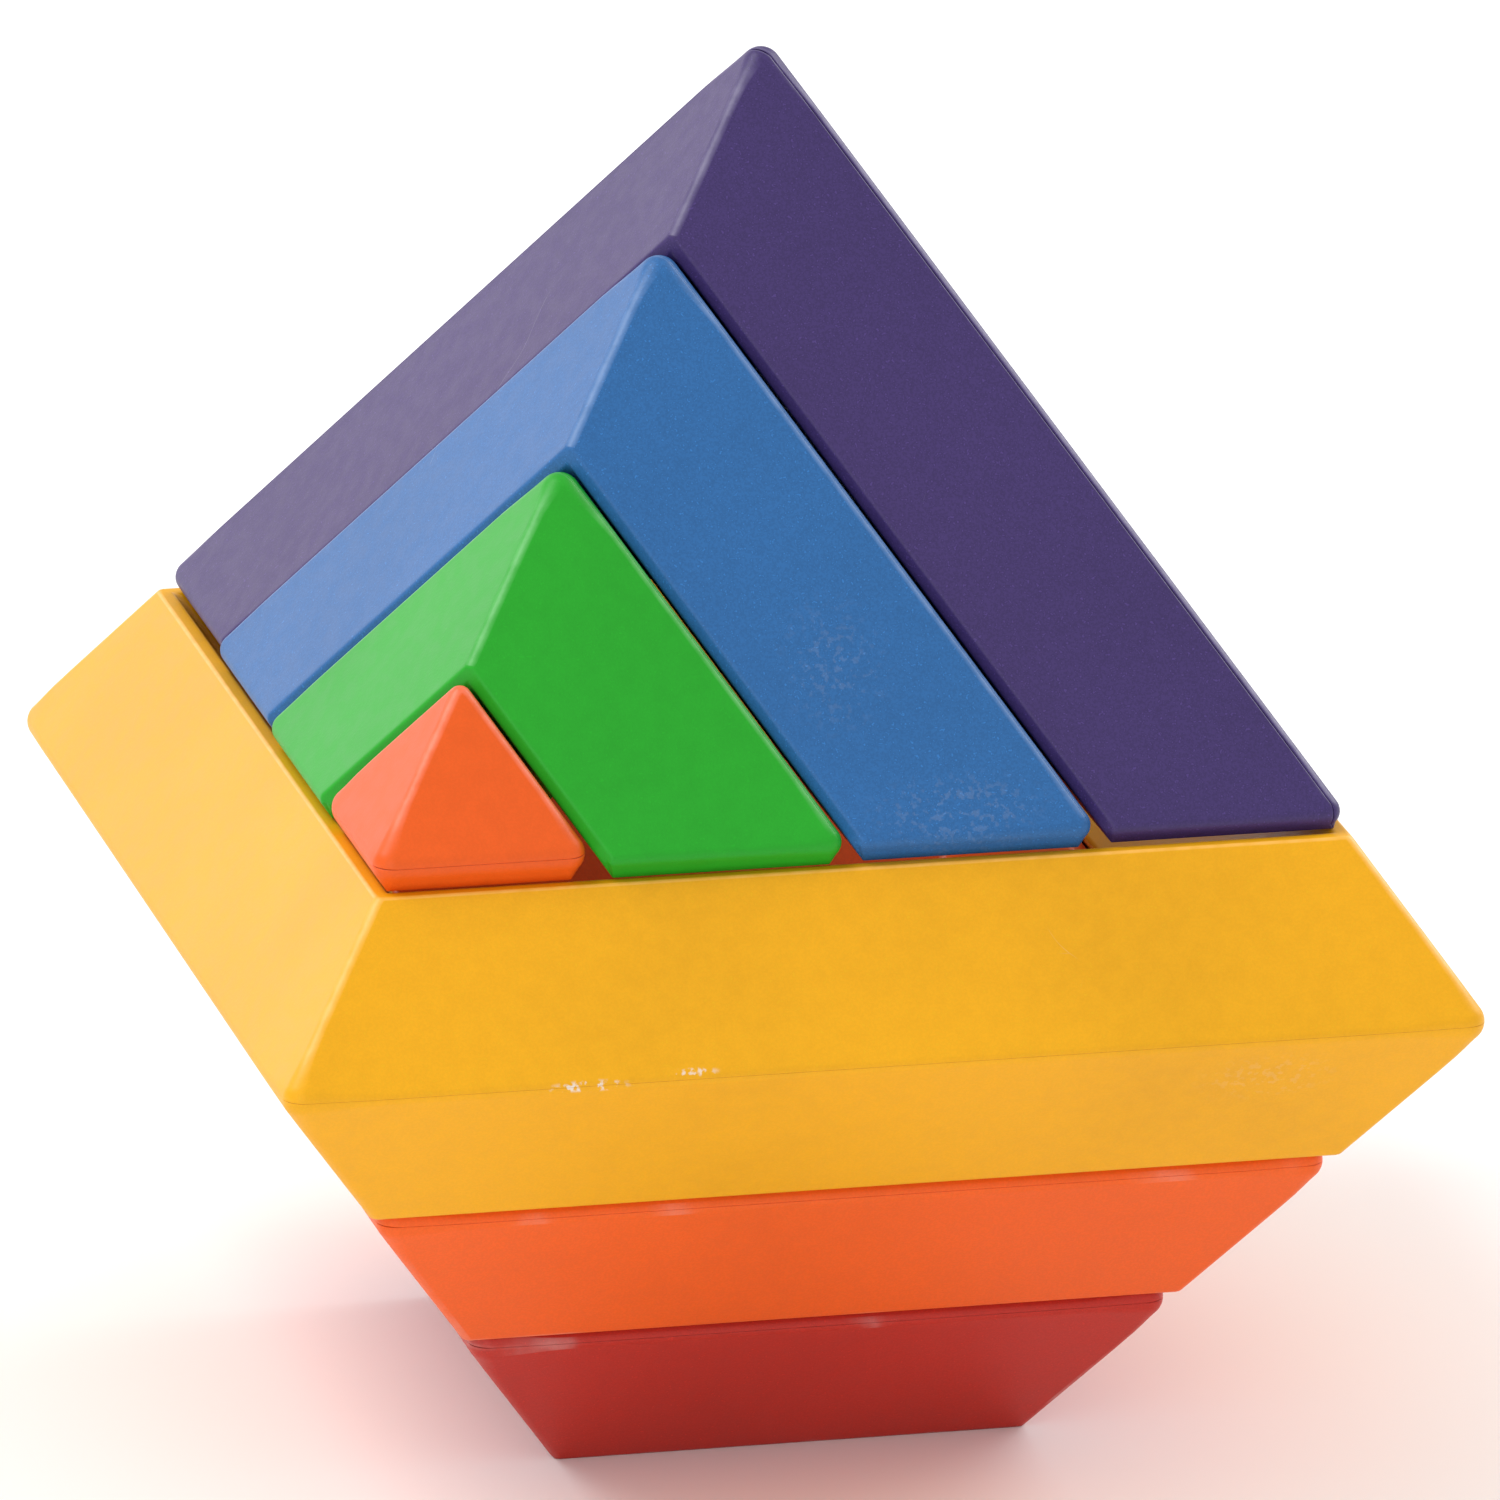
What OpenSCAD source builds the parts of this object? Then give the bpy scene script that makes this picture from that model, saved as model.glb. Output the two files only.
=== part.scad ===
// Pyramid stacking puzzle: three nested square rings, three nested arches standing on
// the widest ring, and a small pyramid tip.  Every block is a hollow two-part moulding.
// The origin is the centre of the footprint, on the surface the lowest ring stands on.

/* [Blocks] */
// Side of one building unit: the step in length between one block and the next
unit = 30; // [26:1:60]
// Radius along the long edges of every block
edge_r = 1.4; // [1:0.1:2]
// Height planed off each rounded ridge, which leaves the narrow flat that a block rests on
ridge_trim = 0.2; // [0.1:0.05:0.3]
// Wall thickness of the moulded shells
wall = 2; // [1.5:0.1:2.5]

/* [Sizes of the blocks] */
// How much shorter a ring is than its whole number of units
ring_short = 2.7; // [1:0.1:4]
// How much shorter the purple arch's legs are than four units
purple_short = 0.3; // [0:0.1:1]
// How much longer the blue arch's legs are than three units
blue_over = 1.1; // [0:0.1:1.2]
// How much longer the green arch's legs are than two units
green_over = 1.2; // [0:0.1:1.3]
// How much wider the tip is than one unit
tip_over = 1.2; // [0:0.1:1.3]

/* [Stack] */
// Open space left between the sloping faces of two nested rings
nest_gap = 0.25; // [0.1:0.05:0.5]
// Open space under the feet of the standing blocks
rest_gap = 0.15; // [0.05:0.05:0.3]
// How far the purple arch stands behind the ring's diagonal
purple_back = 0.8; // [0:0.1:2]
// How far the blue arch stands ahead of its closest place against the purple one
blue_play = 1.6; // [1.5:0.1:4]
// How far the green arch stands ahead of its closest place against the blue one
green_play = 0.65; // [0.6:0.05:3]
// How far the tip stands ahead of its closest place against the green arch
tip_play = 0.6; // [0.55:0.05:3]

/* [Joining posts] */
// Outer radius of the posts that hold two shells together
post_r = 3.4; // [3:0.1:4]
// Radius of the pin on one shell
pin_r = 1.8; // [1.5:0.1:2]
// Radial play between a pin and its socket
pin_play = 0.04; // [0.02:0.01:0.1]
// Length of the pin past the joint face
pin_len = 6; // [4:0.5:8]
// Distance from an arch's foot to its last post
foot_post = 12; // [10:0.5:14]

/* [Tip] */
// Thickness of the tip's base plate
base_t = 3.2; // [2.5:0.1:4]
// Width of the slope round the underside of the base plate
base_slope = 1.4; // [0.5:0.1:2]
// Depth of the rim that plugs the base plate into the tip
plug_h = 3; // [2:0.5:4]

/* [Hidden] */
$fn = 48;

RED = "firebrick";
ORANGE = "orangered";
YELLOW = "gold";
PURPLE = "darkslateblue";
BLUE = "steelblue";
GREEN = "limegreen";

// The arms are square in section, turned on edge and tilted as in a regular octahedron:
// a face rises ridge_slope for each step across, and meets the joint plane at face_angle.
ridge_slope = sqrt(2);
face_angle = atan(ridge_slope);
half_turn = 180;
diagonal = 45;
big = 10 * unit;

ridge_top = unit / ridge_slope - edge_r / cos(face_angle) + edge_r;
half_height = ridge_top - ridge_trim;
ring_pitch = unit / ridge_slope + nest_gap / cos(face_angle);

red_z = half_height;
orange_z = red_z + ring_pitch;
yellow_z = orange_z + ring_pitch;
foot_z = yellow_z + half_height + rest_gap;

purple_y = -purple_back;
blue_y = purple_y + unit / sqrt(2) + blue_play;
green_y = blue_y + unit / sqrt(2) + green_play;
tip_y = green_y + unit / sqrt(2) + tip_play;

purple_leg = 4 * unit - purple_short;
blue_leg = 3 * unit + blue_over;
green_leg = 2 * unit + green_over;
tip_side = unit + tip_over;
// The tip is cut off at its joint plane, so its widest side is there
tip_seam_side = tip_side - 2 * base_t / ridge_slope;

function ring_side(units) = units * unit - ring_short;
function flip(p, su, sv) = [su * p[0], sv * p[1]];

// Section of an arm about its own centre line, its faces moved inwards by inset
// and its four edges rounded to the radius r
module arm_section(inset, r) {
    side_c = unit / 2 - (inset + r) / sin(face_angle);
    ridge_c = unit / ridge_slope - (inset + r) / cos(face_angle);
    out = [r * sin(face_angle), r * cos(face_angle)];
    quarter = [[side_c, 0] + out, [0, ridge_c] + out];
    polygon([
        flip(quarter[0], 1, 1), flip(quarter[1], 1, 1),
        flip(quarter[1], -1, 1), flip(quarter[0], -1, 1),
        flip(quarter[0], -1, -1), flip(quarter[1], -1, -1),
        flip(quarter[1], 1, -1), flip(quarter[0], 1, -1)
    ]);
    for (s = [-1, 1]) {
        translate([s * side_c, 0]) circle(r);
        translate([0, s * ridge_c]) circle(r);
    }
}

// Cavity section: plain sharp rhombus inside the wall
module cavity_section() {
    side_c = unit / 2 - wall / sin(face_angle);
    ridge_c = unit / ridge_slope - wall / cos(face_angle);
    polygon([[side_c, 0], [0, ridge_c], [-side_c, 0], [0, -ridge_c]]);
}

// One side of a square ring of the given side, from corner to corner along X,
// with its ends mitred
module mitred_arm(side) {
    intersection() {
        translate([0, unit / 2, 0]) rotate([90, 0, 90]) linear_extrude(side) children();
        translate([0, 0, -unit])
            linear_extrude(2 * unit) polygon([[0, 0], [side, 0], [side / 2, side / 2]]);
    }
}

// The two arms that meet at the corner on the origin and run along +X and +Y
module corner_arms(side) {
    mitred_arm(side) children();
    mirror([1, -1, 0]) mitred_arm(side) children();
}

// Closed square ring with one corner on the origin
module square_ring(side) {
    corner_arms(side) children();
    translate([side, side, 0]) rotate([0, 0, half_turn]) corner_arms(side) children();
}

// Keeps the half above (side_sign 1) or below (-1) the joint plane
module half_of(side_sign) {
    intersection() {
        children();
        translate([-big / 2, -big / 2, side_sign > 0 ? 0 : -half_height])
            cube([big, big, half_height]);
    }
}

// Posts for one shell.  The shell below the joint plane carries pins, the other sockets.
module posts(spots, side_sign) {
    for (p = spots)
        translate([p[0], p[1], side_sign > 0 ? 0 : -unit])
            cylinder(h = unit, r = post_r);
}

module pins(spots) {
    for (p = spots)
        translate([p[0], p[1], -pin_len]) cylinder(h = 2 * pin_len, r = pin_r);
}

module sockets(spots) {
    for (p = spots)
        translate([p[0], p[1], -pin_len]) cylinder(h = 2 * pin_len + 1, r = pin_r + pin_play);
}

function ring_spots(side) = let (a = unit / 2, b = side - unit / 2, m = side / 2) [
    [a, a], [b, a], [b, b], [a, b], [m, a], [b, m], [m, b], [a, m]
];

module ring_half(side, side_sign) {
    spots = ring_spots(side);
    difference() {
        union() {
            half_of(side_sign) difference() {
                square_ring(side) arm_section(0, edge_r);
                square_ring(side) cavity_section();
            }
            half_of(side_sign) intersection() {
                square_ring(side) arm_section(wall / 2, edge_r);
                posts(spots, side_sign);
            }
            if (side_sign < 0) pins(spots);
        }
        if (side_sign > 0) sockets(spots);
    }
}

// Stands a ring on the stack's axis with its joint plane at the height z
module place_ring(side, z) {
    translate([-side / 2, -side / 2, z]) children();
}

// Everything of an arch up to a cut across its two feet
module arch_reach(leg) {
    translate([0, 0, -unit]) linear_extrude(2 * unit) polygon([[0, 0], [leg, 0], [0, leg]]);
}

function arch_spots(leg) = let (a = unit / 2, b = leg - unit / 2 - foot_post) [
    [a, a], [b, a], [a, b]
];

module arch_half(leg, side_sign) {
    spots = arch_spots(leg);
    difference() {
        union() {
            half_of(side_sign) difference() {
                corner_arms(leg) arm_section(0, edge_r);
                intersection() {
                    corner_arms(leg) cavity_section();
                    arch_reach(leg - wall * sqrt(2));
                }
            }
            half_of(side_sign) intersection() {
                corner_arms(leg) arm_section(wall / 2, edge_r);
                posts(spots, side_sign);
            }
            if (side_sign < 0) pins(spots);
        }
        if (side_sign > 0) sockets(spots);
    }
}

// Stands an arch on its feet, facing the ring's front corner, with its joint plane
// the distance ahead in front of the ring's diagonal
module place_arch(leg, ahead) {
    translate([-ahead / sqrt(2), -ahead / sqrt(2), foot_z + leg / sqrt(2)])
        rotate([90, 0, -diagonal])
            rotate([0, 0, half_turn + diagonal]) children();
}

// Solid with the same outline from the front and from the side
module crossed(outline) {
    intersection() {
        rotate([90, 0, 0]) linear_extrude(2 * unit, center = true) polygon(outline);
        rotate([90, 0, 90]) linear_extrude(2 * unit, center = true) polygon(outline);
    }
}

// Square pyramid with the slopes of the set, its base of the given side on z = 0
module pyramid(side) {
    crossed([[-side / 2, 0], [side / 2, 0], [0, side / 2 * ridge_slope]]);
}

module place_tip() {
    translate([-tip_y / sqrt(2), -tip_y / sqrt(2), foot_z]) children();
}

// Pairs of shells, lower then upper, or back then front

module red_ring_lower() {
    color(RED) place_ring(ring_side(3), red_z) ring_half(ring_side(3), -1);
}

module red_ring_upper() {
    color(RED) place_ring(ring_side(3), red_z) ring_half(ring_side(3), 1);
}

module orange_ring_lower() {
    color(ORANGE) place_ring(ring_side(4), orange_z) ring_half(ring_side(4), -1);
}

module orange_ring_upper() {
    color(ORANGE) place_ring(ring_side(4), orange_z) ring_half(ring_side(4), 1);
}

module yellow_ring_lower() {
    color(YELLOW) place_ring(ring_side(5), yellow_z) ring_half(ring_side(5), -1);
}

module yellow_ring_upper() {
    color(YELLOW) place_ring(ring_side(5), yellow_z) ring_half(ring_side(5), 1);
}

module purple_arch_back() {
    color(PURPLE) place_arch(purple_leg, purple_y) arch_half(purple_leg, -1);
}

module purple_arch_front() {
    color(PURPLE) place_arch(purple_leg, purple_y) arch_half(purple_leg, 1);
}

module blue_arch_back() {
    color(BLUE) place_arch(blue_leg, blue_y) arch_half(blue_leg, -1);
}

module blue_arch_front() {
    color(BLUE) place_arch(blue_leg, blue_y) arch_half(blue_leg, 1);
}

module green_arch_back() {
    color(GREEN) place_arch(green_leg, green_y) arch_half(green_leg, -1);
}

module green_arch_front() {
    color(GREEN) place_arch(green_leg, green_y) arch_half(green_leg, 1);
}

// Base plate with a sloped underside and a rim that plugs into the tip
module tip_base() {
    edge = tip_seam_side / 2;
    rim = edge - wall / sin(face_angle) - plug_h / ridge_slope - pin_play;
    color(ORANGE) place_tip() {
        crossed([
            [-edge + base_slope, 0], [edge - base_slope, 0], [edge, base_slope * ridge_slope],
            [edge, base_t], [-edge, base_t], [-edge, base_slope * ridge_slope]
        ]);
        translate([0, 0, base_t]) difference() {
            crossed([[-rim, 0], [rim, 0], [rim, plug_h], [-rim, plug_h]]);
            crossed([
                [wall - rim, 0], [rim - wall, 0], [rim - wall, unit], [wall - rim, unit]
            ]);
        }
    }
}

// Hollow pyramid, open below, above its base plate
module tip_shell() {
    color(ORANGE) place_tip() difference() {
        intersection() {
            pyramid(tip_side);
            translate([-unit, -unit, base_t]) cube([2 * unit, 2 * unit, unit]);
        }
        pyramid(tip_side - 2 * wall / sin(face_angle));
    }
}

red_ring_lower();
red_ring_upper();
orange_ring_lower();
orange_ring_upper();
yellow_ring_lower();
yellow_ring_upper();
purple_arch_back();
purple_arch_front();
blue_arch_back();
blue_arch_front();
green_arch_back();
green_arch_front();
tip_base();
tip_shell();
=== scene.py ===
"""Looks of the pyramid stacking puzzle: three nested square rings, three arches that
stand on the widest ring, and a small pyramid tip, each a two-part moulded plastic block."""

import math

import bmesh
import bpy
import numpy as np
from mathutils import Matrix, Vector


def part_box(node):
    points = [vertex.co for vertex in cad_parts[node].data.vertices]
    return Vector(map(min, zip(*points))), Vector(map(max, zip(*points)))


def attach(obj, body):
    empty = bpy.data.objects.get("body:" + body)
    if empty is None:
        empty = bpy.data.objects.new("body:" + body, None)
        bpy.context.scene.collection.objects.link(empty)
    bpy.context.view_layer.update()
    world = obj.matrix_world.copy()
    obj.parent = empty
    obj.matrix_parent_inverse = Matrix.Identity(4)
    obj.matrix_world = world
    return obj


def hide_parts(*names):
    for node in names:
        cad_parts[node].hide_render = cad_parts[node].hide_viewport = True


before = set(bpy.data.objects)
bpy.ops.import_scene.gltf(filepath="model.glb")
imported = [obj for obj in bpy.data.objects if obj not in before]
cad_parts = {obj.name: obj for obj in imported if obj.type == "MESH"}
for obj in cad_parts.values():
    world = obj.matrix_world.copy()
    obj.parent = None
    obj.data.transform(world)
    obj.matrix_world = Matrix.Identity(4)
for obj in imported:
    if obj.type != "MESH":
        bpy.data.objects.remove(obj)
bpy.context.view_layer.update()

# ------------------------------------------------------------------ camera and lights
# Angles in degrees, places and distances in metres, sensor and lens in millimetres
CAMERA_AZIMUTH = -14.52
CAMERA_ELEVATION = 18.55
CAMERA_ROLL = 1.16
CAMERA_DISTANCE = 2.36
CAMERA_TARGET = (0.0008, 0.0, 0.0782)
SENSOR_WIDTH = 36.0
LENS = 470.9
CLIP_START = 0.05
CLIP_END = 50
LIGHT_TARGET = Vector((0, 0, 0.08))


def direction(azimuth, elevation):
    """Unit vector from the object towards a view or light; azimuth 0 is on the -Y side."""
    a = math.radians(azimuth)
    e = math.radians(elevation)
    return Vector((math.sin(a) * math.cos(e), -math.cos(a) * math.cos(e), math.sin(e)))


def add_camera():
    data = bpy.data.cameras.new("camera")
    data.sensor_width = SENSOR_WIDTH
    data.lens = LENS
    data.clip_start = CLIP_START
    data.clip_end = CLIP_END
    camera = bpy.data.objects.new("camera", data)
    bpy.context.scene.collection.objects.link(camera)
    back = direction(CAMERA_AZIMUTH, CAMERA_ELEVATION)
    camera.location = Vector(CAMERA_TARGET) + back * CAMERA_DISTANCE
    upright = (-back).to_track_quat("-Z", "Y")
    roll = Matrix.Rotation(math.radians(CAMERA_ROLL), 3, back)
    camera.rotation_mode = "QUATERNION"
    camera.rotation_quaternion = (roll @ upright.to_matrix()).to_quaternion()
    bpy.context.scene.camera = camera


def add_light(name, azimuth, elevation, distance, size, power, color=(1, 1, 1)):
    """Adds a square soft light that faces the object."""
    data = bpy.data.lights.new(name, "AREA")
    data.shape = "SQUARE"
    data.size = size
    data.energy = power
    data.color = color
    light = bpy.data.objects.new(name, data)
    bpy.context.scene.collection.objects.link(light)
    towards = direction(azimuth, elevation)
    light.location = LIGHT_TARGET + towards * distance
    light.rotation_mode = "QUATERNION"
    light.rotation_quaternion = (-towards).to_track_quat("-Z", "Y")


def add_world(color, strength):
    world = bpy.data.worlds.new("studio")
    bpy.context.scene.world = world
    world.use_nodes = True
    background = world.node_tree.nodes["Background"]
    background.inputs["Color"].default_value = (*color, 1)
    background.inputs["Strength"].default_value = strength


add_camera()
bpy.context.scene.view_settings.view_transform = "Standard"
add_world(color=(1, 1, 1), strength=0.74)
add_light("key_left", azimuth=-102, elevation=55, distance=1.6, size=0.9, power=13.5)
add_light("low_front", azimuth=-30, elevation=12, distance=1.8, size=1.2, power=5.0)
add_light("rim_right", azimuth=113, elevation=29, distance=1.6, size=1.0, power=12.0)
add_light("low_sheen", azimuth=-157, elevation=12, distance=1.5, size=0.9, power=3.2,
          color=(0.98, 0.9, 1.0))

# ------------------------------------------------------------------ sizes, in millimetres
MM = 0.001
BOXES = {name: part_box(name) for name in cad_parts}
FORWARD = Vector((-1, -1, 0)).normalized()

FACE_SLOPE = math.sqrt(2)
FACE_ANGLE = math.atan(FACE_SLOPE)
FACE_TURN = math.pi / 2 - FACE_ANGLE   # angle of a face's normal above the joint plane
SIN_FACE = math.sin(FACE_ANGLE)
COS_FACE = math.cos(FACE_ANGLE)


def ring_side(color):
    """Length of a ring's side, outside, along its widest edge."""
    low, high = BOXES[color + "_ring_upper"]
    return (high.x - low.x) / MM


UNIT = ring_side("yellow") - ring_side("orange")
HALF_HEIGHT = (BOXES["yellow_ring_upper"][1].z - BOXES["yellow_ring_upper"][0].z) / MM

WALL = 2.0             # wall of the moulded shells
CAVITY_RADIUS = 0.5    # rounding inside the shells
EDGE_RADIUS = 1.4      # rounding of the long edges
VERTEX_RADIUS = 2.5    # rounding of the corners, where edges meet at the joint plane
INNER_RADIUS = 0.8     # rounding in plan of the inner side of a corner
VERTEX_REACH = 3.0     # height over which the rounding tightens up a mitred edge
VERTEX_BLEND = 9.0     # length over which it tightens along an arm
SEAM_GAP = 0.015       # opening between two shells
FOOT_EDGE = 0.3        # rounding round the underside of a foot
FOOT_SHARE = 0.5       # rounding of the foot's corners, as a share of the way to a corner's
MERGE_DISTANCE = 0.002 # points nearer than this are one point
SHORTEST_EDGE = 0.001  # shorter edges are taken out
SHORTEST_BEND = 0.02   # least distance over which the bend of a surface is measured
TINY = 1e-6            # an angle or a height below this counts as none

# Steps of the grids across an arm
LIP_STEPS = 4
SIDE_STEPS = 6
RIDGE_STEPS = 10
FACE_STATIONS = (0.02, 0.06, 0.12, 0.2, 0.35, 0.5, 0.7, 0.88, 0.98)

# Steps of the grids along an arm
ARC_STEPS = 12
ARM_STEPS = 12
BLEND_STEPS = 8
FOLD_STEPS = 8
TAPER_STEPS = 5
FOOT_STEPS = 5
DOWN = -math.pi / 2


# ------------------------------------------------------------------ rounded outlines
def spread(first, last, steps):
    """Values from first to last, both included, in equal steps."""
    return list(np.linspace(first, last, steps + 1))


def smooth(f):
    """Smooth step of a share."""
    return f * f * (3 - 2 * f)


def slerp(a, b, f):
    """Turns the unit vectors a towards the unit vectors b by the share f."""
    angle = np.arccos(np.clip((a * b).sum(1), -1, 1))[:, None]
    safe = np.where(angle < TINY, 1, np.sin(angle))
    turned = (np.sin((1 - f) * angle) * a + np.sin(f * angle) * b) / safe
    return np.where(angle < TINY, a, turned)


class Outline:
    """Half section of an arm, from the outer seam over the ridge to the inner seam.

    A ball rolls inside the faces.  Its centre runs from A (outer side) to B (ridge) to
    C (inner side), and a surface point is
    centre + (radius - lip) * normal + lip * lip_normal."""

    def __init__(self, seam, lip, radius=EDGE_RADIUS, vertex_radius=VERTEX_RADIUS, inset=0.0):
        self.seam = seam
        self.lip = lip
        self.radius = radius
        self.vertex_radius = vertex_radius
        self.inset = inset
        self.corner_turn = self.stations(vertex_radius)[1]

    def stations(self, side_radius):
        """Columns: place of the centre (0 A, 1 B, 2 C), turn of the normal, and turn of
        the lip's normal."""
        cut = math.asin((self.seam + self.lip) / (side_radius - self.lip))
        rows = [(0, cut, t) for t in spread(DOWN, cut, LIP_STEPS)[:-1]]
        rows += [(0, t, t) for t in spread(cut, FACE_TURN, SIDE_STEPS)]
        rows += [(f, FACE_TURN, FACE_TURN) for f in FACE_STATIONS]
        rows += [(1, t, t) for t in spread(FACE_TURN, math.pi / 2, RIDGE_STEPS // 2)]
        mirrored = [(2 - q, math.pi - a, math.pi - b) for q, a, b in rows[:-1]]
        return np.array(rows + mirrored[::-1]).T

    def section(self, share):
        """Ball radii, centres and normals of the stations, in the plane across an arm.
        The share says how far the side rounding has grown towards the corner's."""
        side_radius = self.radius + (self.vertex_radius - self.radius) * share
        place, turn, lip_turn = self.stations(side_radius)
        height = np.minimum(place, 2 - place) * HALF_HEIGHT
        growth = np.exp(-((height / VERTEX_REACH) ** 2))
        radii = self.radius + (side_radius - self.radius) * growth
        deep = radii + self.inset
        half_width = UNIT / 2 - deep / SIN_FACE
        across = UNIT / 2 + (place - 1) * half_width
        up = (1 - np.abs(place - 1)) * (UNIT / FACE_SLOPE - deep / COS_FACE)
        return (radii[:, None], np.stack([across, up], 1),
                np.stack([-np.cos(turn), np.sin(turn)], 1),
                np.stack([-np.cos(lip_turn), np.sin(lip_turn)], 1))

    def points(self, share):
        """Surface points of the stations, in the plane across an arm."""
        radii, centre, normal, lip_normal = self.section(share)
        flat = centre + (radii - self.lip) * normal + self.lip * lip_normal
        flat[:, 1] = np.minimum(flat[:, 1], HALF_HEIGHT - self.inset)
        return flat

    def inner_radii(self):
        """Rounding in plan on the inner side of a corner, which starts at the ridge."""
        rise = (1 - np.sin(self.corner_turn)) / (1 - math.sin(FACE_TURN))
        return INNER_RADIUS * np.clip(rise, 0, 1)

    def arm_start(self):
        """How far from the block's corner the straight stretch of each station starts."""
        centre = self.section(1)[1]
        inner = self.points(1)[:, 0] + self.inner_radii()
        return np.where(self.corner_turn > math.pi / 2, inner, centre[:, 0])

    def corner(self, first, last, steps):
        """Columns of points round the corner on the origin; 0 is on the arm along +Y."""
        radii, centre, normal, lip_normal = self.section(1)
        points = self.points(1)
        inner = self.inner_radii()
        on_inner_side = (self.corner_turn > math.pi / 2)[:, None]
        ball = np.stack([centre[:, 0], centre[:, 0], centre[:, 1]], 1)
        columns = []
        for f in spread(first, last, steps):
            turned = []
            for n in (normal, lip_normal):
                zero = np.zeros(len(n))
                on_y = np.stack([n[:, 0], zero, n[:, 1]], 1)
                on_x = np.stack([zero, n[:, 0], n[:, 1]], 1)
                turned.append(slerp(on_y, on_x, f))
            outer = ball + (radii - self.lip) * turned[0] + self.lip * turned[1]
            outer[:, 2] = np.minimum(outer[:, 2], HALF_HEIGHT - self.inset)
            t = f * math.pi / 2
            x = points[:, 0] + inner * (1 - math.cos(t))
            y = points[:, 0] + inner * (1 - math.sin(t))
            fillet = np.stack([x, y, points[:, 1]], 1)
            columns.append(np.where(on_inner_side, fillet, outer))
        return columns

    def along(self, x, share):
        """Column of points of the arm along +X, at the distances x from the corner."""
        points = self.points(share)
        return np.stack([x, points[:, 0], points[:, 1]], 1)


def ring_grid(outline, side):
    """Grid of points [station, place along the loop] of one closed ring skin."""
    columns = outline.corner(0, 1, ARC_STEPS)
    start = outline.arm_start()
    for f in spread(0, 1, BLEND_STEPS)[1:-1]:
        columns.append(outline.along(start + VERTEX_BLEND * f, smooth(1 - f)))
    for f in spread(0, 1, ARM_STEPS):
        straight = side - 2 * (start + VERTEX_BLEND)
        columns.append(outline.along(start + VERTEX_BLEND + straight * f, 0))
    for f in spread(1, 0, BLEND_STEPS)[1:-1]:
        columns.append(outline.along(side - start - VERTEX_BLEND * f, smooth(1 - f)))
    quarter = np.stack(columns, 1) - np.array([side / 2, side / 2, 0])
    return np.concatenate([quarter @ quarter_turn(i) for i in range(4)], 1)


def quarter_turn(i):
    """Turns row vectors about +Z by i quarter turns."""
    c, s = round(math.cos(i * math.pi / 2)), round(math.sin(i * math.pi / 2))
    return np.array([[c, s, 0], [-s, c, 0], [0, 0, 1]])


def arch_grid(outline, leg, taper):
    """Grid of one arch skin, from the foot on +Y over the corner to the foot on +X.
    The taper is the height of the level where a foot is widest, above its underside."""
    columns = outline.corner(0.5, 1, ARC_STEPS // 2)
    start = outline.arm_start()
    centre = outline.section(FOOT_SHARE)[1]
    reach = np.maximum(leg - math.sqrt(2) * taper - centre[:, 0], start)
    blend_length = np.minimum(VERTEX_BLEND, (reach - start) / 2)
    straight = reach - start - 2 * blend_length
    room = (blend_length / VERTEX_BLEND)[:, None]

    def arm(x, share):
        """A column of the arm; where it is too short to blend it keeps the corner's section."""
        corner = outline.along(x, 1)
        return corner + (outline.along(x, share) - corner) * room

    for f in spread(0, 1, BLEND_STEPS)[1:]:
        columns.append(arm(start + blend_length * f, smooth(1 - f)))
    for f in spread(0, 1, ARM_STEPS)[1:]:
        columns.append(arm(start + blend_length + straight * f, 0))
    for f in spread(1, 0, BLEND_STEPS)[1:-1]:
        columns.append(arm(reach - blend_length * f, FOOT_SHARE * smooth(1 - f)))
    columns += foot_columns(outline, leg, taper, reach, room)
    along_x = np.stack(columns, 1)
    along_y = along_x[:, :0:-1, [1, 0, 2]]
    return np.concatenate([along_y, along_x], 1)


def foot_columns(outline, leg, taper, reach, room):
    """Columns of the foot on +X.  The outer faces fold over where the foot is widest, draw
    in from there at the same slope, and turn under round the edge of the underside."""
    radii, flat_centre, flat_normal, flat_lip = (
        whole + (part - whole) * room
        for whole, part in zip(outline.section(1), outline.section(FOOT_SHARE)))
    widest = np.stack([reach, *flat_centre.T], 1)
    foot_radius = min(outline.radius, FOOT_EDGE)
    foot = foot_centres(outline, leg, foot_radius, taper)

    zero = np.zeros(len(widest))
    normal = np.stack([zero, *flat_normal.T], 1)
    lip_normal = np.stack([zero, *flat_lip.T], 1)
    down = np.array([[1, 1, 0]]) / math.sqrt(2)
    folded = normal - 2 * np.minimum(normal @ down.T, 0) * down
    lip_folded = lip_normal - 2 * np.minimum(lip_normal @ down.T, 0) * down

    columns = []
    for f in spread(0, 1, FOLD_STEPS):
        columns.append(foot_column(outline, widest, radii, slerp(normal, folded, f),
                                   slerp(lip_normal, lip_folded, f), outline.seam))
    middle = SEAM_GAP / 2
    for f in spread(0, 1, TAPER_STEPS)[1:]:
        centre = widest + (foot - widest) * f
        ball = radii + (foot_radius - radii) * f
        seam = outline.seam + (middle - outline.seam) * f
        columns.append(foot_column(outline, centre, ball, folded, lip_folded, seam))
    for f in spread(0, 1, FOOT_STEPS)[1:]:
        columns.append(foot_column(outline, foot, foot_radius, slerp(folded, down, f),
                                   slerp(lip_folded, down, f), middle))
    return columns


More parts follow.
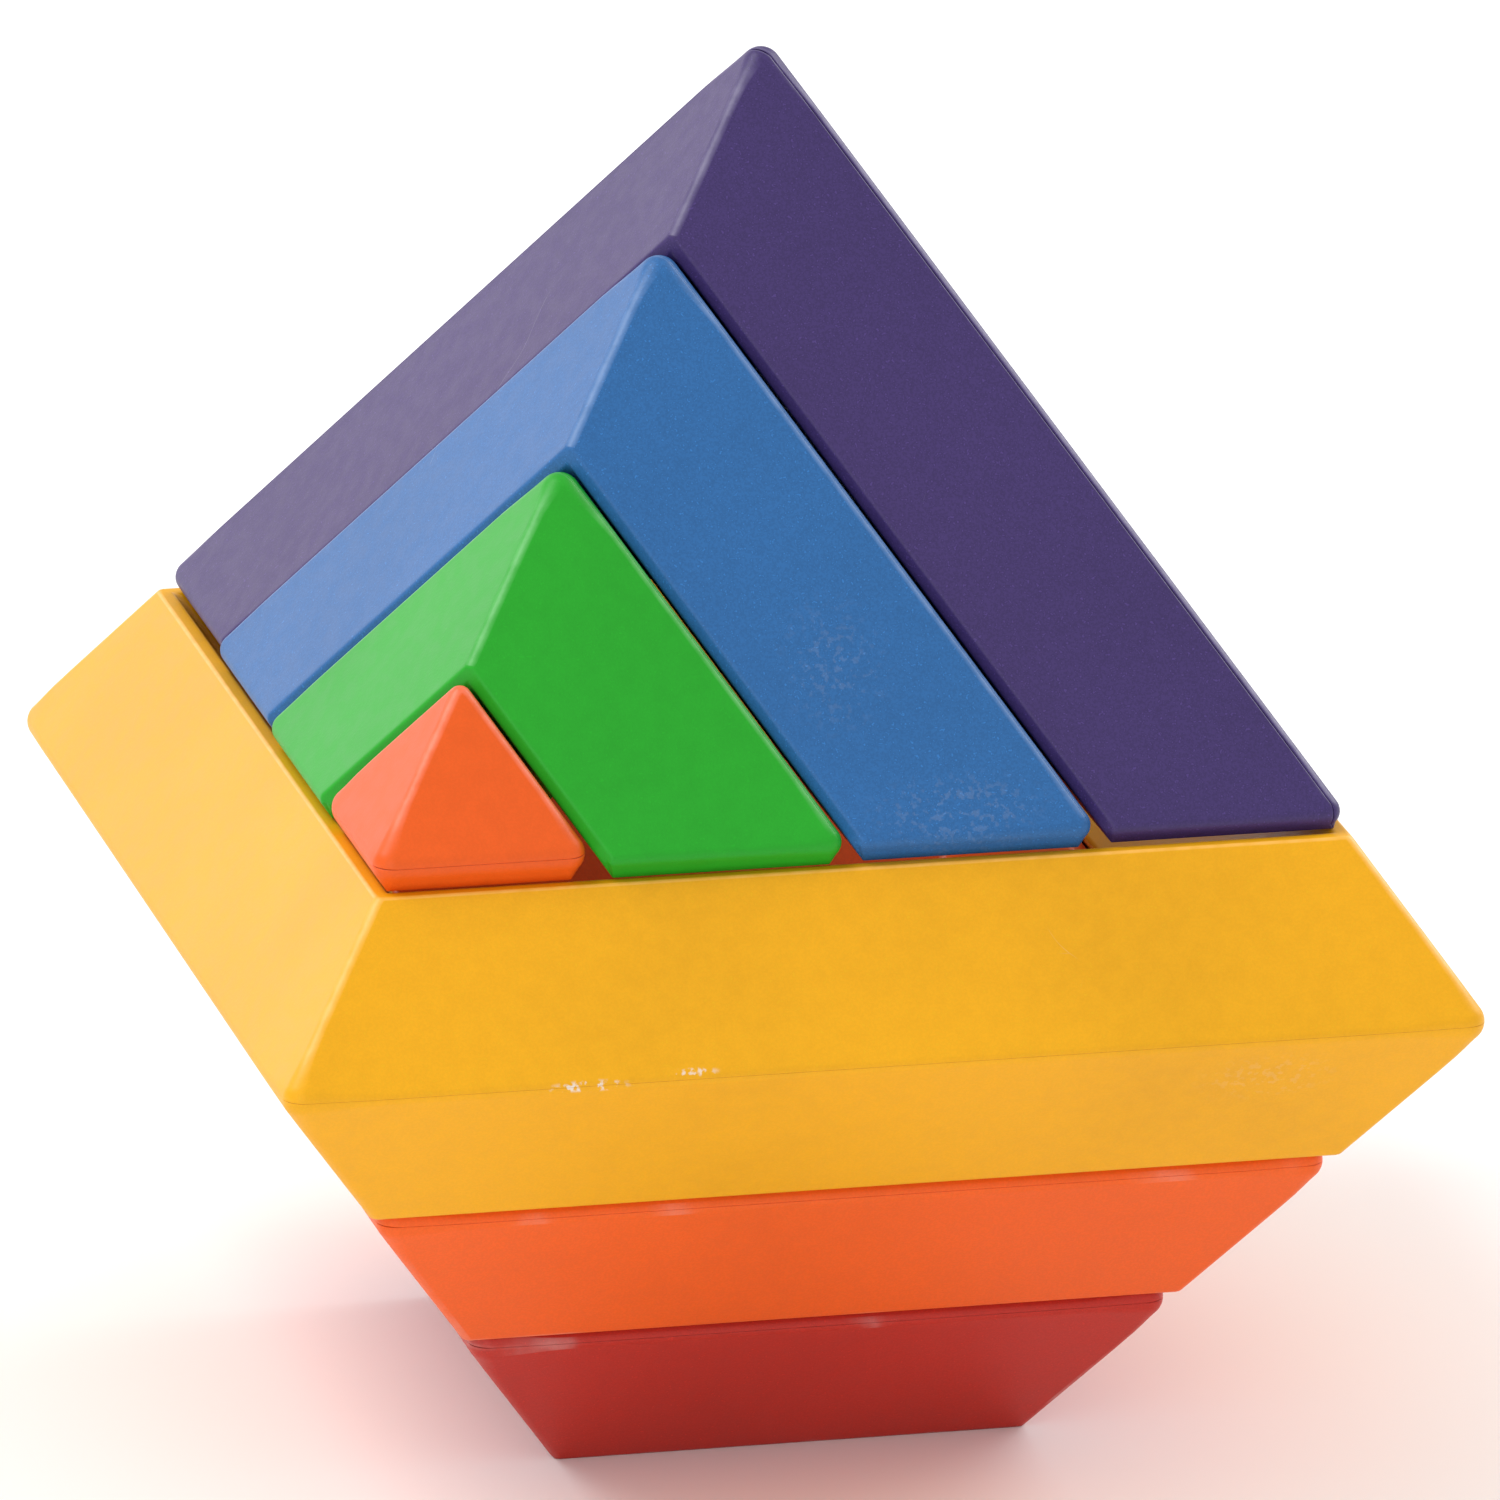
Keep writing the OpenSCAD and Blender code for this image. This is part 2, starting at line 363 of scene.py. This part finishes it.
def foot_column(outline, centre, ball, normal, lip_normal, seam):
    """Points on balls of the given centres and radii; the sides of the block are stretched
    so that they end at the height of the seam."""
    column = centre + (ball - outline.lip) * normal + outline.lip * lip_normal
    place = outline.stations(outline.radius)[0]
    for side in (np.flatnonzero(place == 0), np.flatnonzero(place == 2)[::-1]):
        height = column[side, 2]
        share = (height[-1] - height) / max(height[-1] - height[0], TINY)
        column[side, 2] += (seam - height[0]) * share
    column[:, 2] = np.clip(column[:, 2], seam, HALF_HEIGHT - outline.inset)
    return column


def foot_centres(outline, leg, radius, taper):
    """Centres of the ball that rolls round the underside of the foot on +X."""
    deep = radius + outline.inset
    level = leg - math.sqrt(2) * deep
    drop = taper - deep
    outer = deep / SIN_FACE + math.sqrt(2) * drop
    ridge = UNIT / 2 + drop / math.sqrt(2)
    inner = UNIT - deep / SIN_FACE
    rise = (SIN_FACE * (UNIT - ridge) - deep) / COS_FACE
    place = outline.stations(outline.radius)[0]
    y = np.interp(place, (0, 1, 2), (outer, ridge, inner))
    z = np.interp(place, (0, 1, 2), (0, rise, 0))
    return np.stack([level - y, y, z], 1)


def tip_grid(side, rows, lip, widest):
    """Closed loops round a square pyramid, which draws in again below its widest level.
    A row is the ball's radius, the height of its centre, and the turns of the normal and
    of the lip's normal."""
    radius, height, turn, lip_turn = np.array(rows).T
    unfolded = np.maximum(height, 2 * widest - height)
    half = side / 2 - (radius + unfolded * COS_FACE) / SIN_FACE
    columns = []
    for f in spread(0, 1, ARC_STEPS):
        point = np.stack([-half, -half, height], 1)
        for size, t in ((radius - lip, turn), (lip, lip_turn)):
            zero = np.zeros(len(t))
            on_y = np.stack([-np.cos(t), zero, np.sin(t)], 1)
            on_x = np.stack([zero, -np.cos(t), np.sin(t)], 1)
            point = point + (size * slerp(on_y, on_x, f).T).T
        columns.append(point)
    for f in spread(-1, 1, ARM_STEPS)[1:-1]:
        columns.append(np.stack([half * f, columns[ARC_STEPS][:, 1], columns[0][:, 2]], 1))
    quarter = np.stack(columns, 1)
    return np.concatenate([quarter @ quarter_turn(i) for i in range(4)], 1)


# ------------------------------------------------------------------ meshes
EDGE_LAYER = "edge"


def grid_faces(rows, columns, first, closed):
    """Four-sided faces of a grid whose vertices are numbered from first, row by row."""
    faces = []
    last = columns if closed else columns - 1
    for k in range(rows - 1):
        for j in range(last):
            n = (j + 1) % columns
            faces.append([first + k * columns + j, first + k * columns + n,
                          first + (k + 1) * columns + n, first + (k + 1) * columns + j])
    return faces


def plate_mesh(name, skin):
    """Closed solid of a grid of loops, with a flat face on its first and last loop."""
    rows, columns, _ = skin.shape
    faces = grid_faces(rows, columns, 0, True)
    faces.append(list(range(columns)))
    faces.append([(rows - 1) * columns + j for j in range(columns)])
    return clean_mesh(name, skin.reshape(-1, 3), faces)


def shell_mesh(name, skin, cavity, closed, peaked=False):
    """Closed solid between an outer skin and a cavity skin of the same grid size.
    A peaked skin's last loop is one point, so only its first loop has a seam."""
    rows, columns, _ = skin.shape
    count = rows * columns
    vertices = np.concatenate([skin.reshape(-1, 3), cavity.reshape(-1, 3)])
    faces = grid_faces(rows, columns, 0, closed) + grid_faces(rows, columns, count, closed)
    for row in (0,) if peaked else (0, rows - 1):
        for j in range(columns if closed else columns - 1):
            a = row * columns + j
            b = row * columns + (j + 1) % columns
            faces.append([a, b, b + count, a + count])
    if not closed:
        for j in (0, columns - 1):
            edge = [k * columns + j for k in range(rows)]
            faces.append(edge)
            faces.append([k + count for k in edge])
            faces.append([edge[0], edge[-1], edge[-1] + count, edge[0] + count])
    return clean_mesh(name, vertices, faces)


def bend(vertex):
    """Curvature of the surface at a vertex, as a share of a block's rounded edge's."""
    strongest = 0.0
    for edge in vertex.link_edges:
        if len(edge.link_faces) == 2:
            one, two = edge.link_faces
            apart = (one.calc_center_median() - two.calc_center_median()).length
            strongest = max(strongest, edge.calc_face_angle(0) / max(apart, SHORTEST_BEND))
    return min(strongest * EDGE_RADIUS, 1.0)


def clean_mesh(name, vertices, faces):
    """Mesh whose points are merged where they fall together, and whose faces look outwards."""
    mesh = bpy.data.meshes.new(name)
    mesh.from_pydata([tuple(v) for v in vertices], [], faces)
    work = bmesh.new()
    work.from_mesh(mesh)
    bmesh.ops.remove_doubles(work, verts=work.verts, dist=MERGE_DISTANCE)
    bmesh.ops.dissolve_degenerate(work, dist=SHORTEST_EDGE, edges=work.edges)
    bmesh.ops.recalc_face_normals(work, faces=work.faces)
    for face in work.faces:
        face.smooth = True
    layer = work.verts.layers.float.new(EDGE_LAYER)
    for vertex in work.verts:
        vertex[layer] = bend(vertex)
    work.to_mesh(mesh)
    work.free()
    return mesh


def add_piece(name, mesh, placement, body, node, material):
    """Stands a mesh made in millimetres in its place, instead of its CAD node."""
    mesh.transform(placement)
    mesh.transform(Matrix.Scale(MM, 4))
    if placement.determinant() < 0:
        mesh.flip_normals()
    piece = bpy.data.objects.new(name, mesh)
    bpy.context.scene.collection.objects.link(piece)
    mesh.materials.append(material)
    weighted = piece.modifiers.new("weighted_normals", "WEIGHTED_NORMAL")
    weighted.keep_sharp = True
    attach(piece, body)
    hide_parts(node)


MIRROR = Matrix.Diagonal((1, 1, -1, 1))


# ------------------------------------------------------------------ materials
# Noise patterns, in waves per metre
GRAIN_SCALE = 2900
SCUFF_SCALE = 1100
MOTTLE_SCALE = 420
DUST_SCALE = 70
CLOUD_SCALE = 26
NOISE_RANGE = (0.3, 0.7)           # where most values of a noise pattern lie
GRAIN_DARK_RANGE = (0.35, 0.65)
GRAIN_PALE_RANGE = (0.6, 0.75)

# Brightness of the patterns in a colour, as a factor, and how strongly they mix in
CLOUD_DARK, CLOUD_PALE = 0.95, 1.05
GRAIN_DARK, GRAIN_PALE = 0.6, 2.0
MOTTLE_PALE = 1.3
MOTTLE_SHARE = 0.15

# Painted highlight on the rounded edges that face up, which also stands for rubbed wear: factor
# on the colour, share of white, and where and how strongly it shows
EDGE_HIGHLIGHT_GAIN = 1.15
EDGE_HIGHLIGHT_WHITE = 0.1
EDGE_HIGHLIGHT_SHARE = 0.8
EDGE_HIGHLIGHT_BEND = (0.5, 1.0)
EDGE_HIGHLIGHT_FACING = (0.58, 0.7)        # upward part of the normal over which the painted edge highlight sets in
EDGE_HIGHLIGHT_MOTTLE = (0.5, 1.0)         # how far the mottle breaks the painted edge highlight up

# Lint and hairlines: cells per metre, size in metres, and how strongly they show
LINT_SCALE = 62
LINT_RADIUS = 0.00026
LINT_CORE = 0.4                    # share of a speck's radius that is at full strength
HAIRLINE_SCALE = 34
HAIRLINE_WIDTH = 0.00006
HAIRLINE_SHARE = 0.35
WANDER_SCALE = 1.3                 # waves per cell of the bends in a hairline
WANDER = 0.35                      # how far it bends, in cells
PATCH_SCALE = 2.2                  # waves per cell of the pattern that keeps hairlines
PATCH_EDGE = 0.06
MARK_SHARE = 0.42
MARK_COLOR = (0.8, 0.8, 0.8, 1.0)

DUST_BEND = (0.3, 0.9)
DUST_RANGE = (0.52, 0.72)
DUST_COLOR = (0.75, 0.72, 0.69, 1.0)
SCUFF_RANGE = (0.52, 0.62)
SCUFF_CORE = 0.4                   # share of a scuff's size that is at full strength
SCUFF_COLOR = (0.8, 0.78, 0.75, 1.0)

ROUGHNESS = (0.41, 0.46)
DUST_ROUGHNESS = 0.3               # added where dust lies
RUBBED_ROUGHNESS = 0.12            # taken off on the rubbed edges that also carry the painted highlight
MOTTLE_BUMP = 0.04
BUMP_STRENGTH = 0.34
BUMP_DISTANCE = 0.00004
SPECULAR = 0.3


def add_node(tree, kind, inputs, **settings):
    """Adds a shader node; an input is either a constant or the socket that feeds it."""
    made = tree.nodes.new(kind)
    for key, value in settings.items():
        setattr(made, key, value)
    for key, value in inputs.items():
        if isinstance(value, bpy.types.NodeSocket):
            tree.links.new(value, made.inputs[key])
        else:
            made.inputs[key].default_value = value
    return made


def noise(tree, place, scale, detail=2.0):
    """Noise pattern from 0 to 1."""
    made = add_node(tree, "ShaderNodeTexNoise",
                    {"Vector": place, "Scale": scale, "Detail": detail})
    return made.outputs["Fac"]


def remap(tree, value, low, high, to_low=0.0, to_high=1.0):
    """Smooth step of a value from low..high to to_low..to_high."""
    made = add_node(tree, "ShaderNodeMapRange",
                    {"Value": value, "From Min": low, "From Max": high,
                     "To Min": to_low, "To Max": to_high}, interpolation_type="SMOOTHSTEP")
    return made.outputs["Result"]


def combine(tree, operation, one, two):
    """Sum, product or comparison of two values."""
    return add_node(tree, "ShaderNodeMath", {0: one, 1: two}, operation=operation).outputs[0]


def blend(tree, share, one, two):
    """Colour between two colours, at the given share of the way; 6 and 7 are the mix
    node's colour inputs, and 2 is its colour output."""
    made = add_node(tree, "ShaderNodeMix", {0: share, 6: one, 7: two}, data_type="RGBA")
    return made.outputs[2]


def shade(color, factor):
    """Colour made brighter or darker by a factor."""
    return (*(min(c * factor, 1.0) for c in color), 1.0)


def lint(tree, place, scale, radius, kept):
    """Mask of specks of the given radius, in metres, in the share of the cells that is kept."""
    cells = add_node(tree, "ShaderNodeTexVoronoi", {"Vector": place, "Scale": scale})
    chosen = add_node(tree, "ShaderNodeSeparateColor", {"Color": cells.outputs["Color"]})
    spot = remap(tree, cells.outputs["Distance"], radius * scale,
                 LINT_CORE * radius * scale)
    return combine(tree, "MULTIPLY", spot,
                   combine(tree, "LESS_THAN", chosen.outputs["Red"], kept))


def scratches(tree, place, scale, width, kept):
    """Mask of short curved hairlines of the given half width, in metres, on a share of the
    surface that grows with kept."""
    bent = add_node(tree, "ShaderNodeTexNoise", {"Vector": place, "Scale": WANDER_SCALE * scale})
    shift = add_node(tree, "ShaderNodeVectorMath",
                     {0: bent.outputs["Color"], "Scale": WANDER / scale}, operation="SCALE")
    moved = add_node(tree, "ShaderNodeVectorMath", {0: place, 1: shift.outputs[0]})
    lines = add_node(tree, "ShaderNodeTexVoronoi",
                     {"Vector": moved.outputs[0], "Scale": scale}, feature="DISTANCE_TO_EDGE")
    line = remap(tree, lines.outputs["Distance"], width * scale, 0.0)
    where = remap(tree, noise(tree, place, PATCH_SCALE * scale),
                  1 - kept, 1 - kept + PATCH_EDGE)
    return combine(tree, "MULTIPLY", line, where)


def scuff(tree, place, centre, size):
    """Mask of a broken patch round a centre, with the given half size, in metres."""
    offset = add_node(tree, "ShaderNodeVectorMath", {0: place, 1: centre},
                      operation="SUBTRACT")
    share = add_node(tree, "ShaderNodeVectorMath", {0: offset.outputs[0], 1: size},
                     operation="DIVIDE")
    away = add_node(tree, "ShaderNodeVectorMath", {0: share.outputs[0]}, operation="LENGTH")
    broken = remap(tree, noise(tree, place, SCUFF_SCALE, detail=4), *SCUFF_RANGE)
    return combine(tree, "MULTIPLY", remap(tree, away.outputs["Value"], 1, SCUFF_CORE),
                   broken)


def plastic(name, color, specks, hairlines, dust, grit, scuffs):
    """Satin moulded plastic: mottled grain. Its upward-facing rounded edges are painted paler
    and whiter as a highlight, which also stands for rubbed wear. It has lint, hairline
    scratches, and dust that settles on the edges facing up."""
    material = bpy.data.materials.new(name)
    material.use_nodes = True
    tree = material.node_tree
    shader = tree.nodes["Principled BSDF"]
    place = add_node(tree, "ShaderNodeTexCoord", {}).outputs["Object"]
    grain = noise(tree, place, GRAIN_SCALE, detail=1)
    mottle = noise(tree, place, MOTTLE_SCALE, detail=3)
    cloud = noise(tree, place, CLOUD_SCALE, detail=2)
    edge = add_node(tree, "ShaderNodeAttribute", {}, attribute_name=EDGE_LAYER).outputs["Fac"]

    tone = blend(tree, remap(tree, cloud, *NOISE_RANGE),
                 shade(color, CLOUD_DARK), shade(color, CLOUD_PALE))
    tone = blend(tree, remap(tree, mottle, *NOISE_RANGE, 0, MOTTLE_SHARE),
                 tone, shade(color, MOTTLE_PALE))
    tone = blend(tree, remap(tree, grain, *GRAIN_DARK_RANGE, 0, grit),
                 tone, shade(color, GRAIN_DARK))
    tone = blend(tree, remap(tree, grain, *GRAIN_PALE_RANGE, 0, grit),
                 tone, shade(color, GRAIN_PALE))

    # Painted highlight: rounded edges that face up get a paler, whiter colour, standing in for
    # the light they catch and for rubbed wear
    edge_highlight_color = tuple(c * EDGE_HIGHLIGHT_GAIN + (1 - c) * EDGE_HIGHLIGHT_WHITE for c in color) + (1.0,)
    edge_highlight_and_wear = combine(tree, "MULTIPLY", remap(tree, edge, *EDGE_HIGHLIGHT_BEND),
                     remap(tree, mottle, *NOISE_RANGE, *EDGE_HIGHLIGHT_MOTTLE))
    normal = add_node(tree, "ShaderNodeNewGeometry", {}).outputs["Normal"]
    facing = add_node(tree, "ShaderNodeSeparateXYZ", {"Vector": normal}).outputs["Z"]
    edge_highlight_and_wear = combine(tree, "MULTIPLY", edge_highlight_and_wear, remap(tree, facing, *EDGE_HIGHLIGHT_FACING))
    tone = blend(tree, combine(tree, "MULTIPLY", edge_highlight_and_wear, EDGE_HIGHLIGHT_SHARE), tone, edge_highlight_color)

    faint = combine(tree, "MULTIPLY", HAIRLINE_SHARE,
                    scratches(tree, place, HAIRLINE_SCALE, HAIRLINE_WIDTH, hairlines))
    marks = combine(tree, "MAXIMUM", lint(tree, place, LINT_SCALE, LINT_RADIUS, specks), faint)
    tone = blend(tree, combine(tree, "MULTIPLY", marks, MARK_SHARE), tone, MARK_COLOR)
    dusty = combine(tree, "MULTIPLY", remap(tree, edge, *DUST_BEND),
                    remap(tree, noise(tree, place, DUST_SCALE, detail=4), *DUST_RANGE, 0, dust))
    tone = blend(tree, dusty, tone, DUST_COLOR)
    for centre, size, strength in scuffs:
        mask = combine(tree, "MULTIPLY", scuff(tree, place, centre, size), strength)
        tone = blend(tree, mask, tone, SCUFF_COLOR)
    tree.links.new(tone, shader.inputs["Base Color"])

    rough = remap(tree, mottle, *NOISE_RANGE, *ROUGHNESS)
    rough = combine(tree, "ADD", rough, combine(tree, "MULTIPLY", dusty, DUST_ROUGHNESS))
    rough = combine(tree, "SUBTRACT", rough,
                    combine(tree, "MULTIPLY", edge_highlight_and_wear, RUBBED_ROUGHNESS))
    tree.links.new(rough, shader.inputs["Roughness"])
    height = combine(tree, "ADD", grain, combine(tree, "MULTIPLY", mottle, MOTTLE_BUMP))
    bump = add_node(tree, "ShaderNodeBump", {"Strength": BUMP_STRENGTH,
                                             "Distance": BUMP_DISTANCE, "Height": height})
    tree.links.new(bump.outputs["Normal"], shader.inputs["Normal"])
    shader.inputs["Specular IOR Level"].default_value = SPECULAR
    return material


COLORS = {
    "red": (0.47, 0.025, 0.014),
    "orange": (0.81, 0.110, 0.008),
    "yellow": (0.79, 0.37, 0.002),
    "purple": (0.050, 0.029, 0.133),
    "blue": (0.023, 0.130, 0.355),
    "green": (0.012, 0.345, 0.014),
    "tip": (0.76, 0.098, 0.006),
}
# How many specks and hairlines a block shows, how much dust, and how strong its grain is
MARKS = {
    "red": (0.02, 0.30, 0.22, 0.25), "orange": (0.02, 0.30, 0.14, 0.16),
    "yellow": (0.01, 0.30, 0.0, 0.10), "purple": (0.22, 0.36, 0.0, 0.55),
    "blue": (0.16, 0.36, 0.0, 0.45), "green": (0.03, 0.30, 0.0, 0.12),
    "tip": (0.01, 0.30, 0.0, 0.10),
}


def spot(node, x, y, z):
    """Point in a CAD node's box, from the shares of the way along its sides."""
    low, high = BOXES[node]
    return tuple(a + (b - a) * f for a, b, f in zip(low, high, (x, y, z)))


# Rubbed patches: centre, half size, and strength
SCUFFS = {
    "yellow": [
        (spot("yellow_ring_upper", 0.25, 0, 0), (0.006, 0.004, 0.0009), 0.75),
        (spot("yellow_ring_upper", 0.335, 0, 0.04), (0.004, 0.004, 0.0006), 0.6),
        (spot("yellow_ring_lower", 0.82, 0.04, 0.6), (0.012, 0.006, 0.006), 0.06),
    ],
    "purple": [
        (spot("purple_arch_front", 0.12, 0.83, 0.06), (0.008, 0.012, 0.006), 0.22),
        (spot("purple_arch_front", 0.7, 0.14, 0.03), (0.006, 0.006, 0.002), 0.3),
    ],
    "blue": [
        (spot("blue_arch_front", 0.66, 0.2, 0.22), (0.010, 0.010, 0.016), 0.05),
        (spot("blue_arch_front", 0.8, 0.06, 0.07), (0.014, 0.006, 0.006), 0.05),
    ],
    "red": [(spot("red_ring_lower", 0.35, 0, 0.95), (0.03, 0.004, 0.0012), 0.25)],
}
MATERIALS = {name: plastic(name + "_plastic", color, *MARKS[name], SCUFFS.get(name, []))
             for name, color in COLORS.items()}

TIP_LIP = 0.08
TIP_BASE_RADIUS = 2.5

# Height of the seam above the middle of the block, and the rounding of the seam's lips
SEAMS = {
    "red": (0.0, 0.08), "orange": (0.0, 0.07), "yellow": (0.0, 0.03),
    "purple": (0.5, 0.17), "blue": (0.0, 0.05), "green": (0.0, 0.05),
}

# Height of the level where an arch's feet are widest, above their underside
TAPERS = {"purple": 2.0, "blue": 2.7, "green": 2.7}


# ------------------------------------------------------------------ blocks
def hollow_outline():
    """Outline of the space inside a shell."""
    return Outline(SEAM_GAP / 2, 0, CAVITY_RADIUS, CAVITY_RADIUS, WALL - CAVITY_RADIUS)


def add_ring(color):
    """Adds the two shells of a ring."""
    side = ring_side(color)
    height = BOXES[color + "_ring_upper"][0].z / MM
    seam, lip = SEAMS[color]
    for part, sign in (("upper", 1), ("lower", -1)):
        outline = Outline(sign * seam + SEAM_GAP / 2, lip)
        skin = ring_grid(outline, side)
        cavity = ring_grid(hollow_outline(), side)
        node = f"{color}_ring_{part}"
        mesh = shell_mesh(node + "_shell", skin, cavity, True)
        place = Matrix.Translation((0, 0, height))
        if sign < 0:
            place = place @ MIRROR
        add_piece(node + "_shell", mesh, place, color + "_ring", node,
                  MATERIALS[color])


def arch_frame(color):
    """Leg length of an arch, and the placement that stands it upright on its feet, facing
    forwards, from the axes in which its corner is the origin and its legs are +X and +Y."""
    ridge_inset = EDGE_RADIUS / SIN_FACE - EDGE_RADIUS
    low, high = BOXES[color + "_arch_front"]
    leg = (high.z - low.z) / MM * math.sqrt(2) + 2 * ridge_inset
    joint = min(v.co.dot(FORWARD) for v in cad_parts[color + "_arch_front"].data.vertices)
    apex = FORWARD * (joint / MM) + Vector((0, 0, low.z / MM + leg / math.sqrt(2)))
    legs_down = Matrix.Rotation(math.radians(225), 4, "Z")
    upright = Matrix.Rotation(math.radians(90), 4, "X")
    forwards = Matrix.Rotation(math.radians(-45), 4, "Z")
    return leg, Matrix.Translation(apex) @ forwards @ upright @ legs_down


def add_arch(color):
    """Adds the two shells of an arch."""
    leg, placement = arch_frame(color)
    seam, lip = SEAMS[color]
    for part, sign in (("front", 1), ("back", -1)):
        outline = Outline(sign * seam + SEAM_GAP / 2, lip)
        skin = arch_grid(outline, leg, TAPERS[color])
        cavity = arch_grid(hollow_outline(), leg, TAPERS[color])
        node = f"{color}_arch_{part}"
        mesh = shell_mesh(node + "_shell", skin, cavity, False)
        place = placement @ MIRROR if sign < 0 else placement
        add_piece(node + "_shell", mesh, place, color + "_arch", node,
                  MATERIALS[color])


def add_tip():
    """Adds the pyramid shell of the tip, and the plate that closes it."""
    low, high = (corner / MM for corner in BOXES["tip_shell"])
    floor_z = BOXES["tip_base"][0].z / MM
    seam = low.z - floor_z
    side = (high.x - low.x) + 2 * seam / FACE_SLOPE
    center = (low + high) / 2
    place = Matrix.Translation((center.x, center.y, floor_z))
    upper_cut = math.asin((SEAM_GAP / 2 + TIP_LIP) / (TIP_BASE_RADIUS - TIP_LIP))
    lower_cut = -upper_cut

    rows = [(TIP_BASE_RADIUS, seam, upper_cut, t)
            for t in spread(DOWN, upper_cut, LIP_STEPS)[:-1]]
    rows += [(TIP_BASE_RADIUS, seam, t, t)
             for t in spread(upper_cut, FACE_TURN, SIDE_STEPS)]
    apex = (side / 2 * SIN_FACE - EDGE_RADIUS) / COS_FACE
    for f in FACE_STATIONS:
        height = seam + (apex - seam) * f
        growth = math.exp(-(((height - seam) / VERTEX_REACH) ** 2))
        radius = EDGE_RADIUS + (TIP_BASE_RADIUS - EDGE_RADIUS) * growth
        rows.append((radius, height, FACE_TURN, FACE_TURN))
    rows += [(EDGE_RADIUS, apex, t, t) for t in spread(FACE_TURN, math.pi / 2, SIDE_STEPS)]
    skin = tip_grid(side, rows, TIP_LIP, seam)
    cavity = skin.copy()
    shrink = 1 - 2 * WALL / SIN_FACE / side
    cavity[..., :2] *= shrink
    cavity[..., 2] = (cavity[..., 2] - seam) * shrink + seam + SEAM_GAP / 2
    cavity[0, :, 2] = seam + SEAM_GAP / 2
    mesh = shell_mesh("tip_shell_skin", skin, cavity, True, True)
    add_piece("tip_shell_skin", mesh, place, "tip", "tip_shell",
              MATERIALS["tip"])

    rows = [(FOOT_EDGE, FOOT_EDGE, t, t) for t in spread(DOWN, -FACE_TURN, RIDGE_STEPS)]
    rows += [(TIP_BASE_RADIUS, seam, t, t) for t in spread(-FACE_TURN, lower_cut, SIDE_STEPS)]
    rows += [(TIP_BASE_RADIUS, seam, lower_cut, t)
             for t in spread(lower_cut, math.pi / 2, LIP_STEPS)[1:]]
    mesh = plate_mesh("tip_base_plate", tip_grid(side, rows, TIP_LIP, seam))
    add_piece("tip_base_plate", mesh, place, "tip", "tip_base",
              MATERIALS["tip"])


for color in ("red", "orange", "yellow"):
    add_ring(color)
for color in ("purple", "blue", "green"):
    add_arch(color)
add_tip()


# ------------------------------------------------------------------ floor
FLOOR_SIZE = 12
FLOOR_COLOR = (0.93, 0.93, 0.93, 1)
FLOOR_ROUGHNESS = 0.8


def add_floor():
    bpy.ops.mesh.primitive_plane_add(size=FLOOR_SIZE, location=(0, 0, 0))
    floor = bpy.context.object
    floor.name = "floor"
    material = bpy.data.materials.new("floor")
    material.use_nodes = True
    shader = material.node_tree.nodes["Principled BSDF"]
    shader.inputs["Base Color"].default_value = FLOOR_COLOR
    shader.inputs["Roughness"].default_value = FLOOR_ROUGHNESS
    floor.data.materials.append(material)


add_floor()
